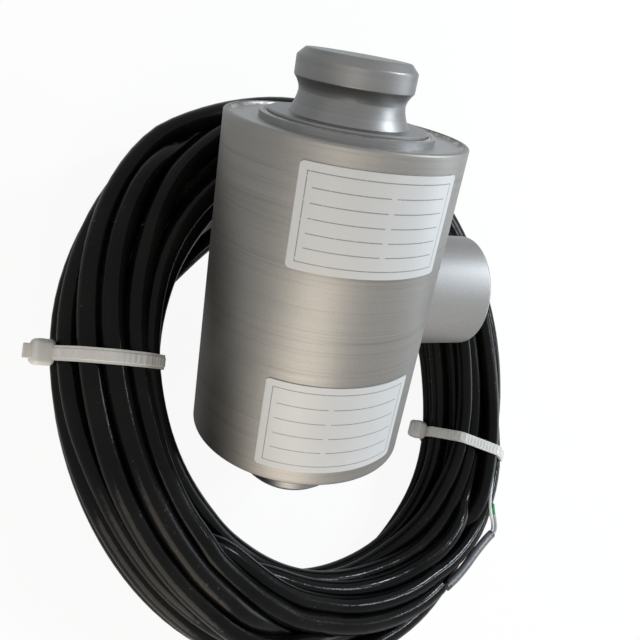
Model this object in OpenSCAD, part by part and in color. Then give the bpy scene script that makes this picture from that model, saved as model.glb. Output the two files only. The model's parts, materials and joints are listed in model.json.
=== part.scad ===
// Column load cell, leaning on the coil of its own cable.
// Sizes are in millimetres. Z is up from the surface that the coil lies on.
// Most pieces are drawn in the cell's own frame, with the load axis along Z and the
// side housing along X, and are then leaned over as one.

/* [Housing tube] */
// Outer diameter of the housing tube
body_d = 76; // [72:0.5:82]
// Length of the housing tube along the load axis
body_len = 108.6; // [100:0.2:120]
// Wall of the housing tube
body_wall = 3; // [2.5:0.25:4]
// Rounding of the tube's two outer rims
rim_round = 0.8; // [0.4:0.1:1.2]
// Width of the lip left outside each end plate
rim_lip = 1.6; // [1.2:0.1:2]

/* [End plates] */
// Thickness of each end plate
plate_t = 3.5; // [2.5:0.25:5]
// Depth of each end plate below its rim
plate_recess = 1.1; // [0.8:0.1:2]
// Width of the plate's flat face between the rim and the raised collar
ledge_w = 9; // [7:0.25:10]
// Wall of that collar
collar_wall = 1.4; // [0.8:0.1:1.6]
// Height of the collar above the rim
collar_rise = 0.9; // [0.5:0.1:1.5]
// Leg of the weld fillet inside each rim
rim_weld_leg = 0.9; // [0.5:0.1:1]

/* [Load column] */
// Width of the weld between the collar and the column's shoulder
weld_w = 1; // [0.8:0.1:1.4]
// Height of the shoulder's face above the rim
shoulder_rise = 1.9; // [1.2:0.1:2.6]
// Length of the shoulder inside the tube, from its face
shoulder_len = 9; // [7:0.5:12]
// Height of each load face above the rim
button_rise = 20.2; // [18:0.2:24]
// Diameter of each load button
button_d = 36.8; // [34:0.2:40]
// Length of the button's cylindrical band
band_len = 5.3; // [4:0.1:7]
// Chamfer between the band and the load face
button_chamfer = 2.4; // [1.5:0.1:3]
// Rise of the crowned load face at its middle
crown_rise = 0.25; // [0.1:0.05:0.6]
// Rounding of the band's two edges
band_round = 0.8; // [0.4:0.1:1]
// Depth of the neck below the button's band
neck_cut = 1.95; // [1.5:0.05:3]
// Flare of the neck's foot beyond its narrowest place
foot_flare = 2.45; // [1.5:0.05:3]
// Diameter of the gauged waist inside the tube
waist_d = 33; // [30:0.5:36]
// Width across the four gauge flats
flats_w = 28; // [25:0.5:29]
// Length of the gauge flats
flats_len = 44; // [36:1:50]

/* [Strain gauges] */
// Height of a gauge along the load axis
gauge_h = 14; // [10:1:18]
// Width of a gauge
gauge_w = 9; // [7:0.5:11]
// Thickness of a gauge with its backing
gauge_t = 0.4; // [0.3:0.1:0.8]

/* [Side housing] */
// Outer diameter of the side housing
side_d = 39.4; // [37:0.2:42]
// Wall of the side housing
side_wall = 2.5; // [2:0.1:3]
// Rounding of the side housing's outer edge
side_round = 1.5; // [0.8:0.1:1.8]
// Diameter of the wire port between the tube and the side housing
port_d = 16; // [12:0.5:20]
// Thickness of the cover's flange
cover_t = 4; // [3:0.25:5]
// Depth of the cover below the end of the side housing
cover_recess = 0.5; // [0.3:0.1:1]
// Width of the cover's seat in the housing wall
cover_seat = 1; // [0.6:0.1:1.3]
// Length of the cover's spigot
spigot_len = 3.5; // [3.2:0.1:4.5]
// Gap between the cover's spigot and the gland's stub
cover_room = 1.3; // [0.8:0.1:4]
// Thickness of the cover's sealing ring
ring_t = 1.9; // [1.5:0.1:2.2]

/* [Cable gland] */
// Gap between the housing tube and the gland's stub
gland_room = 1.6; // [1.2:0.1:2.5]
// Diameter of the gland's boss on the side housing
boss_d = 19; // [18:0.5:20]
// Height of the boss above the side housing
boss_rise = 1.5; // [1:0.1:2.5]
// Diameter of the gland's screwed stub
stub_d = 12; // [11:0.5:12.5]
// Width across the flats of the gland's hexagon
hex_w = 15; // [14:0.5:16]
// Height of the hexagon
hex_h = 5; // [4:0.25:6]
// Thickness of the sealing washer under the hexagon
washer_t = 1; // [0.6:0.1:1.5]
// Diameter of the gland's nut
nut_d = 15; // [14.6:0.1:16]
// Length of the gland's nut
nut_len = 11; // [10:0.5:14]

/* [Cable] */
// Diameter of the cable
cable_d = 7.5; // [6.5:0.1:7.6]
// Mean radius of the coil's turns
coil_r = 95; // [90:1:105]
// Half of the width of the coil's bundle
coil_half_w = 17.5; // [16:0.5:19]
// Half of the height of the coil's bundle
coil_half_h = 19.5; // [17:0.5:21]
// Sideways distance of the coil's centre from the load axis
coil_side = 25.6; // [20:0.2:30]
// Lean of the load axis above the floor
lean = 27; // [25:0.5:30]
// Turn of the side housing about the load axis
side_turn = -20.5; // [-26:0.5:-15]
// Gap between the tube and the coil that it leans on
rest_gap = 0.8; // [0.5:0.1:1.5]
// Diameter of the sleeve over the stripped cable end
sleeve_d = 3.8; // [3:0.1:4.5]
// Diameter of one insulated core
core_d = 1.4; // [1:0.1:1.6]

/* [Cable ties] */
// Width of a tie's strap
tie_w = 4.6; // [3.6:0.1:5]
// Thickness of a tie's strap
tie_t = 1.3; // [1:0.1:1.5]
// Size of a tie's head: outwards, along the coil and along the strap
head_size = [7, 8.4, 8];
// Angle of the left tie about the coil's centre
left_tie_at = 163.5; // [155:0.5:168]
// Angle of the right tie about the coil's centre
right_tie_at = -32; // [-36:0.5:-26]

/* [Labels] */
// Thickness of a label
label_t = 0.3; // [0.2:0.05:0.5]
// Radius of a label's corners
label_corner = 1.2; // [0.8:0.1:3]
// Angle of the labels' middle about the load axis
label_at = -91.5; // [-96:0.5:-86]
// Width of the upper label round the tube
upper_label_w = 50; // [40:0.5:54]
// Height of the upper label
upper_label_h = 30; // [24:0.5:34]
// Distance of the upper label's middle from the tube's upper rim
upper_label_in = 20.7; // [18:0.1:24]
// Width of the lower label round the tube
lower_label_w = 51; // [40:0.5:54]
// Height of the lower label
lower_label_h = 31.6; // [24:0.2:34]
// Distance of the lower label's middle from the tube's lower rim
lower_label_in = 21.3; // [18:0.1:24]

/* [Clearances] */
// Gap round a seated or welded piece
fit_gap = 0.05; // [0.03:0.01:0.1]
// Gap round a soft or loosely held piece
loose_gap = 0.25; // [0.15:0.05:0.4]
// Gap round the cable where it enters the coil
pocket_gap = 0.8; // [0.6:0.1:1.5]

/* [Hidden] */
$fn = 96;

steel = [0.66, 0.66, 0.65];
bright_steel = [0.74, 0.75, 0.76];
weld_metal = [0.82, 0.82, 0.8];
jacket = [0.04, 0.04, 0.045];
nylon = [0.86, 0.85, 0.8];

// Housing tube and end plates
body_r = body_d / 2;
half_len = body_len / 2;
tube_in = body_r - body_wall;
seat_r = body_r - rim_lip;
plate_top = half_len - plate_recess;
plate_low = plate_top - plate_t;
collar_r = seat_r - ledge_w;
shoulder_r = collar_r - collar_wall - weld_w;
weld_in = shoulder_r + fit_gap;
weld_out = collar_r - collar_wall - fit_gap;
weld_rise = 0.7 * collar_rise;

// Load column: levels are measured from the tube's middle
shoulder_top = half_len + shoulder_rise;
shoulder_low = shoulder_top - shoulder_len;
face_level = half_len + button_rise;
band_top = face_level - button_chamfer;
band_low = band_top - band_len;
neck_level = shoulder_top + 0.6 * (band_low - shoulder_top);
button_r = button_d / 2;
neck_r = button_r - neck_cut;
foot_r = min(neck_r + foot_flare, shoulder_r - 0.4);
waist_r = waist_d / 2;
waist_round = min(8, shoulder_r - waist_r);
arc_steps = 10;
flare_angle = 42;
neck_crease = 0.25;

// Side housing, its cover and its gland
side_r = side_d / 2;
side_in = side_r - side_wall;
port_r = port_d / 2;
stub_r = stub_d / 2;
gland_x = sqrt(pow(body_r, 2) - pow(side_in, 2)) + gland_room + stub_r;
spigot_end = gland_x + stub_r + cover_room;
cover_in = spigot_end + spigot_len;
side_reach = cover_in + cover_t + cover_recess;
spigot_r = side_in - fit_gap;
ring_groove = ring_t + 2 * fit_gap;
boss_top = side_r + boss_rise;
hex_low = boss_top + washer_t;
hex_top = hex_low + hex_h;
gland_neck_r = nut_d / 2 - 1.2;
nut_low = hex_top + loose_gap;
gland_end = nut_low + nut_len;
seal_low = hex_top + 2;
seal_len = 5.2;
seal_r = gland_neck_r - 1.1;
cable_r = cable_d / 2;
entry_low = side_in - 4;

// Terminal board in the side housing
board_w = 14;
board_gap = 2.4;
board_h = 2 * sqrt(pow(side_in - board_gap, 2) - pow(board_w / 2, 2));
board_size = [1.6, board_w, board_h];
board_x = body_r + 2.5;
board_hole_r = 3;
post_r = 1.8;
post_z = board_h / 2 - 3;
post_screw_r = 0.8;

// Section of the coil's bundle: a rounded outline that stands on the floor
section_n = 28;
section_power = 2 / 2.2;
section_top = pow(cos(180 / section_n), section_power);
function bent(v) = sign(v) * pow(abs(v), section_power);
function section_pts(inset, widen = 1) = [
    for (k = [0:section_n - 1])
        let (t = (k + 0.5) * 360 / section_n)
        [
            widen * (coil_half_w - inset) * bent(cos(t)),
            coil_half_h + (coil_half_h - inset) * bent(sin(t)) / section_top
        ]
];

// Where the leaning cell and the coil stand
lean_low = (body_r - rim_round) * cos(lean) + (half_len - rim_round) * sin(lean) + rim_round;
rim_y = (body_r - rim_round) * sin(lean) - (half_len - rim_round) * cos(lean);
side_edge_x = (side_reach - side_round) * cos(side_turn)
    + (side_r - side_round) * abs(sin(side_turn)) + side_round;
cell_x = (body_r - side_edge_x) / 2;
cross_widen = 1 / sqrt(1 - pow(coil_side / coil_r, 2));
coil_reach = (max([
    for (p = section_pts(0, cross_widen)) p[1] * cos(lean) - p[0] * sin(lean)
]) + rest_gap) / sin(lean);
coil_at = [
    cell_x + coil_side,
    rim_y + coil_reach - coil_r / cross_widen
];

// A point of the cell's frame, in the part's frame
function leaned(p) =
    let (a = cos(side_turn) * p[0] - sin(side_turn) * p[1])
    let (b = sin(side_turn) * p[0] + cos(side_turn) * p[1])
    [
        cell_x + a,
        b * sin(lean) + p[2] * cos(lean),
        lean_low - b * cos(lean) + p[2] * sin(lean)
    ];
lead_exit = leaned([gland_x, gland_end, 0]);
lead_way = leaned([gland_x, gland_end + 1, 0]) - lead_exit;

// Routes that the cable, its sleeve and its cores follow, from point to point
function unit(v) = v / norm(v);
lead_pts = concat(
    [lead_exit, lead_exit + 5 * lead_way],
    [
        [46, 17, 27], [44.5, 22.5, 18.5], [40, 27.5, 11.5], [33, 31, 7], [25, 33, 4.6],
        [16, 33.6, 4], [6, 32.6, 4], [-4, 30, 4.4], [-14, 27, 5.4], [-23, 23.5, 6.8],
        [-32, 20.5, 8.4], [-40, 17.5, 10.2], [-47, 14, 12]
    ]
);
tail_pts = [[24, -136.5, 30.5], [33, -138.3, 35.2], [42, -139, 38.9], [51.1, -138.7, 40.4]];
tail_way = unit([6.5, 1.2, 0.2]);
sleeve_pts = [
    [51.1, -138.7, 40.4], [57.6, -137.4, 40.6], [65.4, -135, 40.6], [73.4, -132.1, 40.4],
    [81.7, -129.5, 40.2], [87.4, -128.3, 40]
];
sleeve_way = unit([5.7, 1.2, -0.2]);
sleeve_end = sleeve_pts[len(sleeve_pts) - 1];
core_shift = (core_d / 2 + fit_gap) * [-sleeve_way[1], sleeve_way[0], 0];
green_pts = concat(
    [sleeve_end - core_shift],
    [[90, -128.4, 39.9], [91.8, -125.6, 39.8], [91.8, -119.5, 39.7], [92, -115.4, 39.7]]
);
white_pts = concat(
    [sleeve_end + core_shift],
    [
        [89, -126.2, 39.9], [89.5, -123.2, 39.9], [88.8, -118.3, 40], [89.8, -112.7, 40],
        [92.3, -106.2, 40], [94.9, -100.2, 40]
    ]
);

// Sweeping a round section along a route
function curve_point(a, b, c, d, t) =
    0.5 * (2 * b + (c - a) * t + (2 * a - 5 * b + 4 * c - d) * t * t
    + (3 * b - a - 3 * c + d) * t * t * t);
function curve(pts, steps) = concat(
    [
        for (i = [0:len(pts) - 2], s = [0:steps - 1])
            curve_point(
                i > 0 ? pts[i - 1] : 2 * pts[0] - pts[1],
                pts[i],
                pts[i + 1],
                i + 2 < len(pts) ? pts[i + 2] : 2 * pts[i + 1] - pts[i],
                s / steps
            )
    ],
    [pts[len(pts) - 1]]
);
function headings(way) = [
    for (i = [0:len(way) - 1])
        unit(way[min(i + 1, len(way) - 1)] - way[max(i - 1, 0)])
];
function ring_at(centre, heading, r, sides) =
    let (u = unit(cross(heading, [0.2, 0.1, 1])), v = cross(heading, u))
    [for (k = [0:sides - 1]) centre + r * (u * cos(k * 360 / sides) + v * sin(k * 360 / sides))];

module swept(pts, d, steps = 1, sides = 10, start = undef, finish = undef) {
    way = curve(pts, steps);
    dirs = headings(way);
    last = len(way) - 1;
    rings = [
        for (i = [0:last])
            let (set = i == 0 ? start : i == last ? finish : undef)
            ring_at(way[i], set == undef ? dirs[i] : set, d / 2, sides)
    ];
    faces = concat(
        [[for (k = [sides - 1:-1:0]) k]],
        [
            for (i = [0:last - 1], k = [0:sides - 1])
                [i * sides + k, i * sides + (k + 1) % sides,
                 (i + 1) * sides + (k + 1) % sides, (i + 1) * sides + k]
        ],
        [[for (k = [0:sides - 1]) last * sides + k]]
    );
    polyhedron(points = [for (ring = rings) each ring], faces = faces, convexity = 6);
}

// Frames
module leaned_cell() {
    translate([cell_x, 0, lean_low])
        rotate([lean - 90, 0, 0])
            rotate([0, 0, side_turn])
                children();
}

module side_frame() {
    rotate([0, 90, 0])
        children();
}

module gland_frame() {
    translate([gland_x, 0, 0])
        rotate([-90, 0, 0])
            children();
}

module coil_frame(at = 0) {
    translate([coil_at[0], coil_at[1], 0])
        rotate([0, 0, at])
            children();
}

module lower_end() {
    mirror([0, 0, 1])
        children();
}

module ring(r_out, r_in, low, high) {
    translate([0, 0, low])
        difference() {
            cylinder(r = r_out, h = high - low);
            translate([0, 0, -1])
                cylinder(r = r_in, h = high - low + 2);
        }
}

// Half of the column's outline, from the tube's middle to the crown of the load face
function arc_pts(centre, r, from, to, steps = arc_steps) = [
    for (k = [0:steps])
        let (t = from + (to - from) * k / steps)
        centre + r * [cos(t), sin(t)]
];
function eased(from, to) = [
    for (k = [0:arc_steps])
        let (t = k / arc_steps, out = neck_crease * t + (1 - neck_crease) * pow(t, 2.1))
        [from[0] + (to[0] - from[0]) * out, from[1] + (to[1] - from[1]) * t]
];
function crown_pts() = [
    for (k = [1:arc_steps])
        let (t = 1 - k / arc_steps)
        [(button_r - button_chamfer) * t, face_level + crown_rise * (1 - t * t)]
];
function reversed(list) = [for (k = [len(list) - 1:-1:0]) list[k]];
chamfer_tangent = band_round * tan(22.5);
column_outline = concat(
    [[0, 0], [waist_r, 0]],
    arc_pts([waist_r + waist_round, shoulder_low - waist_round], waist_round, 180, 90),
    [[shoulder_r, shoulder_low], [shoulder_r, shoulder_top - 0.4]],
    [[shoulder_r - 0.4, shoulder_top]],
    reversed(eased([neck_r, neck_level], [foot_r, shoulder_top])),
    eased([neck_r, neck_level], [
        button_r - band_round * (1 - cos(flare_angle)),
        band_low - band_round * sin(flare_angle)
    ]),
    arc_pts([button_r - band_round, band_low], band_round, -flare_angle, 0, 5),
    arc_pts([button_r - band_round, band_top - chamfer_tangent], band_round, 0, 45, 5),
    arc_pts(
        [button_r - button_chamfer - chamfer_tangent, face_level - band_round],
        band_round, 45, 90, 5
    ),
    crown_pts()
);

module column_half() {
    rotate_extrude()
        polygon(column_outline);
}

module measuring_column() {
    color(bright_steel)
        leaned_cell()
            difference() {
                union() {
                    column_half();
                    lower_end()
                        column_half();
                }
                for (a = [0:90:270])
                    rotate([0, 0, a])
                        translate([flats_w / 2, -waist_d, -flats_len / 2])
                            cube([waist_d, 2 * waist_d, flats_len]);
            }
}

module strain_gauges() {
    color([0.78, 0.5, 0.2])
        leaned_cell()
            for (a = [0:90:270])
                rotate([0, 0, a])
                    translate([flats_w / 2, 0, 0]) {
                        translate([0, -gauge_w / 2, -gauge_h / 2])
                            cube([gauge_t, gauge_w, gauge_h]);
                        for (s = [-1, 1])
                            translate([gauge_t, s * gauge_w / 4 - 0.8, gauge_h / 2 - 3])
                                cube([gauge_t, 1.6, 2.4]);
                    }
}

module housing_tube() {
    color(steel)
        leaned_cell()
            difference() {
                rotate_extrude()
                    polygon(concat(
                        [[tube_in, -plate_low], [tube_in, plate_low], [seat_r, plate_low]],
                        [[seat_r, half_len]],
                        reversed(arc_pts(
                            [body_r - rim_round, half_len - rim_round], rim_round, 0, 90
                        )),
                        arc_pts([body_r - rim_round, rim_round - half_len], rim_round, 0, -90),
                        [[seat_r, -half_len], [seat_r, -plate_low]]
                    ));
                side_frame()
                    cylinder(r = port_r, h = body_d);
            }
}

module end_plate() {
    ring(seat_r - fit_gap, shoulder_r + fit_gap, plate_low, plate_top);
    ring(collar_r, collar_r - collar_wall, plate_top, half_len + collar_rise);
}

module top_end_plate() {
    color(steel)
        leaned_cell()
            end_plate();
}

module bottom_end_plate() {
    color(steel)
        leaned_cell()
            lower_end()
                end_plate();
}

module collar_weld() {
    rotate_extrude()
        polygon(concat(
            [[weld_in, plate_top], [weld_out, plate_top]],
            [
                for (k = [0:8])
                    let (t = k * 22.5)
                    [
                        (weld_in + weld_out) / 2 + (weld_out - weld_in) / 2 * cos(t),
                        half_len + weld_rise + 0.3 * sin(t)
                    ]
            ]
        ));
}

module top_collar_weld() {
    color(weld_metal)
        leaned_cell()
            collar_weld();
}

module bottom_collar_weld() {
    color(weld_metal)
        leaned_cell()
            lower_end()
                collar_weld();
}

module rim_weld() {
    rotate_extrude()
        polygon([
            [seat_r - rim_weld_leg, plate_top],
            [seat_r, plate_top],
            [seat_r, plate_top + rim_weld_leg],
            [seat_r - 0.35 * rim_weld_leg, plate_top + 0.35 * rim_weld_leg]
        ]);
}

module top_rim_weld() {
    color(weld_metal)
        leaned_cell()
            rim_weld();
}

module bottom_rim_weld() {
    color(weld_metal)
        leaned_cell()
            lower_end()
                rim_weld();
}

module side_housing() {
    color(steel)
        leaned_cell()
            difference() {
                union() {
                    side_frame()
                        rotate_extrude()
                            polygon(concat(
                                [[0, tube_in], [side_r, tube_in]],
                                arc_pts(
                                    [side_r - side_round, side_reach - side_round],
                                    side_round, 0, 90
                                ),
                                [[0, side_reach]]
                            ));
                    gland_frame()
                        cylinder(d = boss_d, h = boss_top);
                }
                cylinder(r = body_r + fit_gap, h = body_len, center = true);
                side_frame() {
                    translate([0, 0, tube_in])
                        cylinder(r = side_in, h = side_reach);
                    translate([0, 0, cover_in])
                        cylinder(r = side_in + cover_seat, h = side_reach);
                }
                gland_frame()
                    cylinder(r = stub_r + fit_gap, h = side_reach);
            }
}

module side_cover() {
    color(steel)
        leaned_cell()
            side_frame()
                difference() {
                    union() {
                        translate([0, 0, cover_in])
                            cylinder(r = side_in + cover_seat - fit_gap, h = cover_t);
                        translate([0, 0, spigot_end])
                            cylinder(r = spigot_r, h = spigot_len);
                    }
                    ring(side_r, spigot_r - ring_t, spigot_end + 0.6, spigot_end + 0.6 + ring_groove);
                    translate([0, 0, spigot_end - 1])
                        cylinder(r = spigot_r - ring_t - 2, h = spigot_len + 1);
                }
}

module cover_seal() {
    color([0.08, 0.08, 0.08])
        leaned_cell()
            side_frame()
                translate([0, 0, spigot_end + 0.6 + ring_groove / 2])
                    rotate_extrude()
                        translate([spigot_r - ring_t / 2, 0])
                            circle(d = ring_t - 2 * fit_gap, $fn = 24);
}

module gland_body() {
    color([0.72, 0.7, 0.64])
        leaned_cell()
            gland_frame()
                difference() {
                    union() {
                        translate([0, 0, side_in])
                            cylinder(r = stub_r, h = hex_low - side_in);
                        translate([0, 0, hex_low])
                            cylinder(d = hex_w / cos(30), h = hex_h, $fn = 6);
                        translate([0, 0, hex_top])
                            cylinder(r = gland_neck_r, h = seal_low + seal_len / 2 - hex_top);
                    }
                    cylinder(r = cable_r + loose_gap, h = side_reach);
                    translate([0, 0, seal_low])
                        cylinder(r = seal_r + fit_gap, h = side_reach);
                }
}

module gland_washer() {
    color([0.1, 0.1, 0.1])
        leaned_cell()
            gland_frame()
                ring(hex_w / 2, stub_r + fit_gap, boss_top, hex_low);
}

module gland_seal() {
    color([0.08, 0.08, 0.08])
        leaned_cell()
            gland_frame()
                ring(seal_r, cable_r + fit_gap, seal_low, seal_low + seal_len);
}

module gland_nut() {
    color([0.72, 0.7, 0.64])
        leaned_cell()
            gland_frame()
                difference() {
                    intersection() {
                        rotate_extrude()
                            polygon([
                                [0, nut_low], [nut_d / 2, nut_low], [nut_d / 2, gland_end - 4],
                                [nut_d / 2 - 1, gland_end - 1.6], [nut_d / 2 - 2.4, gland_end],
                                [0, gland_end]
                            ]);
                        translate([0, 0, nut_low - 1])
                            cylinder(d = (nut_d - 0.6) / cos(30), h = nut_len + 2, $fn = 6);
                    }
                    cylinder(r = cable_r + loose_gap, h = 2 * side_reach);
                    cylinder(r = gland_neck_r + fit_gap, h = seal_low + seal_len + fit_gap);
                }
}

module cable_entry() {
    color(jacket)
        leaned_cell()
            gland_frame()
                translate([0, 0, entry_low])
                    cylinder(r = cable_r, h = gland_end - entry_low);
}

// Wires, board and trim parts inside the side housing
module gauge_harness() {
    start = flats_w / 2 + gauge_t + loose_gap;
    color([0.85, 0.85, 0.8])
        leaned_cell()
            swept(
                [[start, 0, 0], [start + 6, 0, -1.4], [start + 14, 0, 0.6], [board_x - 2, 0, 0],
                 [board_x + board_size[0], 0, 0]],
                2.4, 3, 8, [1, 0, 0], [1, 0, 0]
            );
}

module terminal_board() {
    color([0.1, 0.4, 0.2])
        leaned_cell()
            difference() {
                translate([board_x, -board_size[1] / 2, -board_size[2] / 2])
                    cube(board_size);
                side_frame()
                    cylinder(r = board_hole_r, h = side_reach);
                for (s = [-1, 1])
                    translate([0, 0, s * post_z])
                        side_frame()
                            cylinder(r = post_screw_r + fit_gap, h = side_reach);
            }
}

module board_posts() {
    color([0.8, 0.75, 0.5])
        leaned_cell()
            difference() {
                for (s = [-1, 1])
                    translate([0, 0, s * post_z])
                        side_frame() {
                            cylinder(r = post_r, h = board_x);
                            cylinder(r = post_screw_r, h = board_x + board_size[0]);
                            translate([0, 0, board_x + board_size[0]])
                                cylinder(r = post_r, h = 1);
                        }
                cylinder(r = body_r + fit_gap, h = body_len, center = true);
            }
}

module trim_resistors() {
    color([0.15, 0.15, 0.16])
        leaned_cell()
            for (y = [-5.4, 3.6], z = [-6, -2, 2.4])
                translate([board_x + board_size[0], y, z])
                    cube([0.8, 1.8, 3.2]);
}

module board_cores() {
    start = entry_low;
    edge = board_size[1] / 2;
    color([0.75, 0.2, 0.15])
        leaned_cell()
            for (s = [-1.5, -0.5, 0.5, 1.5])
                translate([board_x + board_size[0] / 2, edge, s * 1.6])
                    rotate([-90, 0, 0])
                        cylinder(d = core_d, h = start - edge, $fn = 16);
}

// Labels that follow the tube
module label(width, height, level) {
    span = width / body_r * 180 / PI;
    low = body_r + 0.4 * fit_gap;
    chord = body_r * sin(span / 2) - label_corner;
    rotate([0, 0, label_at])
        translate([0, 0, level])
            intersection() {
                ring(low + label_t, low, -height, height);
                side_frame()
                    linear_extrude(body_d)
                        union() {
                            square([height - 2 * label_corner, 2 * (chord + label_corner)], center = true);
                            square([height, 2 * chord], center = true);
                            for (sx = [-1, 1], sy = [-1, 1])
                                translate([sx * (height / 2 - label_corner), sy * chord])
                                    circle(r = label_corner, $fn = 32);
                        }
            }
}

module upper_label() {
    color([0.93, 0.94, 0.95])
        leaned_cell()
            label(upper_label_w, upper_label_h, half_len - upper_label_in);
}

module lower_label() {
    color([0.93, 0.94, 0.95])
        leaned_cell()
            label(lower_label_w, lower_label_h, lower_label_in - half_len);
}

// Cable
module cable_lead() {
    color(jacket)
        swept(lead_pts, cable_d, 2, 10, lead_way);
}

// Room in the coil round the last four points of a route that ends in it
module end_pocket(pts) {
    swept(
        [for (k = [len(pts) - 4:len(pts) - 1]) pts[k]],
        cable_d + 2 * pocket_gap, 2, 16
    );
}

module tie_groove(at) {
    inset = tie_t + loose_gap;
    coil_frame(at)
        translate([coil_r, 0, 0])
            rotate([90, 0, 0])
                difference() {
                    translate([0, coil_half_h, 0])
                        cube([3 * coil_half_w, 3 * coil_half_h, tie_w + 2 * loose_gap], center = true);
                    linear_extrude(2 * tie_w, center = true)
                        polygon(section_pts(inset));
                }
}

module cable_coil() {
    color(jacket)
        difference() {
            coil_frame()
                rotate_extrude($fn = 180)
                    translate([coil_r, 0])
                        polygon(section_pts(0));
            tie_groove(left_tie_at);
            tie_groove(right_tie_at);
            end_pocket(lead_pts);
            end_pocket(reversed(tail_pts));
        }
}

module cable_tail() {
    color(jacket)
        swept(tail_pts, cable_d, 2, 10, undef, tail_way);
}

module tail_sleeve() {
    color([0.36, 0.36, 0.38])
        swept(sleeve_pts, sleeve_d, 2, 10, tail_way, sleeve_way);
}

module green_core() {
    color([0.1, 0.6, 0.25])
        swept(green_pts, core_d, 3, 8, sleeve_way);
}

module white_core() {
    color([0.88, 0.9, 0.92])
        swept(white_pts, core_d, 2, 8, sleeve_way);
}

module tie_strap() {
    translate([coil_r, 0, 0])
        rotate([90, 0, 0])
            linear_extrude(tie_w, center = true)
                difference() {
                    polygon(section_pts(0));
                    polygon(section_pts(tie_t));
                }
}

// Head that stands off the strap on a short neck
module tie_head() {
    bevel = 1.4;
    side = head_size[1] / 2;
    far = loose_gap + head_size[0];
    translate([0, 0, -head_size[2] / 2])
        linear_extrude(head_size[2])
            polygon([
                [loose_gap, -side], [far - bevel, -side], [far, bevel - side],
                [far, side - bevel], [far - bevel, side], [loose_gap, side]
            ]);
    translate([-tie_t / 2, -tie_w / 2, 1 - head_size[2] / 2])
        cube([tie_t, tie_w, head_size[2] - 2]);
}

module left_tie() {
    stub = 3;
    color(nylon)
        coil_frame(left_tie_at) {
            tie_strap();
            translate([coil_r + coil_half_w, 0, coil_half_h]) {
                tie_head();
                translate([head_size[0], -tie_w / 2, -tie_t / 2])
                    cube([stub, tie_w, tie_t]);
            }
        }
}

module right_tie() {
    color(nylon)
        coil_frame(right_tie_at) {
            tie_strap();
            translate([coil_r - coil_half_w, 0, coil_half_h])
                rotate([0, 0, 180])
                    tie_head();
        }
}

measuring_column();
strain_gauges();
housing_tube();
top_end_plate();
bottom_end_plate();
top_collar_weld();
bottom_collar_weld();
top_rim_weld();
bottom_rim_weld();
side_housing();
side_cover();
cover_seal();
gland_body();
gland_washer();
gland_seal();
gland_nut();
cable_entry();
gauge_harness();
terminal_board();
board_posts();
trim_resistors();
board_cores();
upper_label();
lower_label();
cable_lead();
cable_coil();
cable_tail();
tail_sleeve();
green_core();
white_core();
left_tie();
right_tie();
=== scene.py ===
"""Looks of a column load cell that leans on the tied coil of its own cable.

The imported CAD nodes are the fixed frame. This script gives each visible node its finish, lays the
cable as one length of cord in settled turns, and makes the ties, the sleeve and the cores on it.
"""
from __future__ import annotations

import json
import logging
import math
from collections.abc import Sequence
from dataclasses import dataclass, field
from enum import Enum

import bmesh
import bpy
import numpy as np
from mathutils import Euler, Matrix, Vector


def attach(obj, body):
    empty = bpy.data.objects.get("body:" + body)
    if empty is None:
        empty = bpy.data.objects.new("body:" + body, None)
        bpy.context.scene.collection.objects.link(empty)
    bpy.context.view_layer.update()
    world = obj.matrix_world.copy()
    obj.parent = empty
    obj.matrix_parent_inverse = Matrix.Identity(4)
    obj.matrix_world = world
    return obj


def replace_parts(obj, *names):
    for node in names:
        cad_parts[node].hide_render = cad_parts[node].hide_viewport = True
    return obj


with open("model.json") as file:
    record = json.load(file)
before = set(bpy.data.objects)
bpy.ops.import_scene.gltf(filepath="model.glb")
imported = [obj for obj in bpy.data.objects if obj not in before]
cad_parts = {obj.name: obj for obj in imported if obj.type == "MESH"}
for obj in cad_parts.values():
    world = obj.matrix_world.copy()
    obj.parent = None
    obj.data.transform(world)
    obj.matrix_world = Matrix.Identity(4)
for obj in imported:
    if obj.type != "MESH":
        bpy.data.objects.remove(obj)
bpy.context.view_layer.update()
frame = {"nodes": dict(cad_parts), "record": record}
LOG = logging.getLogger("load_cell")
MM = 0.001
Colour = tuple[float, float, float]
Number = "Sock | float"


class Side(Enum):
    """The two labels on the tube, by where they sit."""

    UPPER = "upper_label"
    LOWER = "lower_label"


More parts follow.
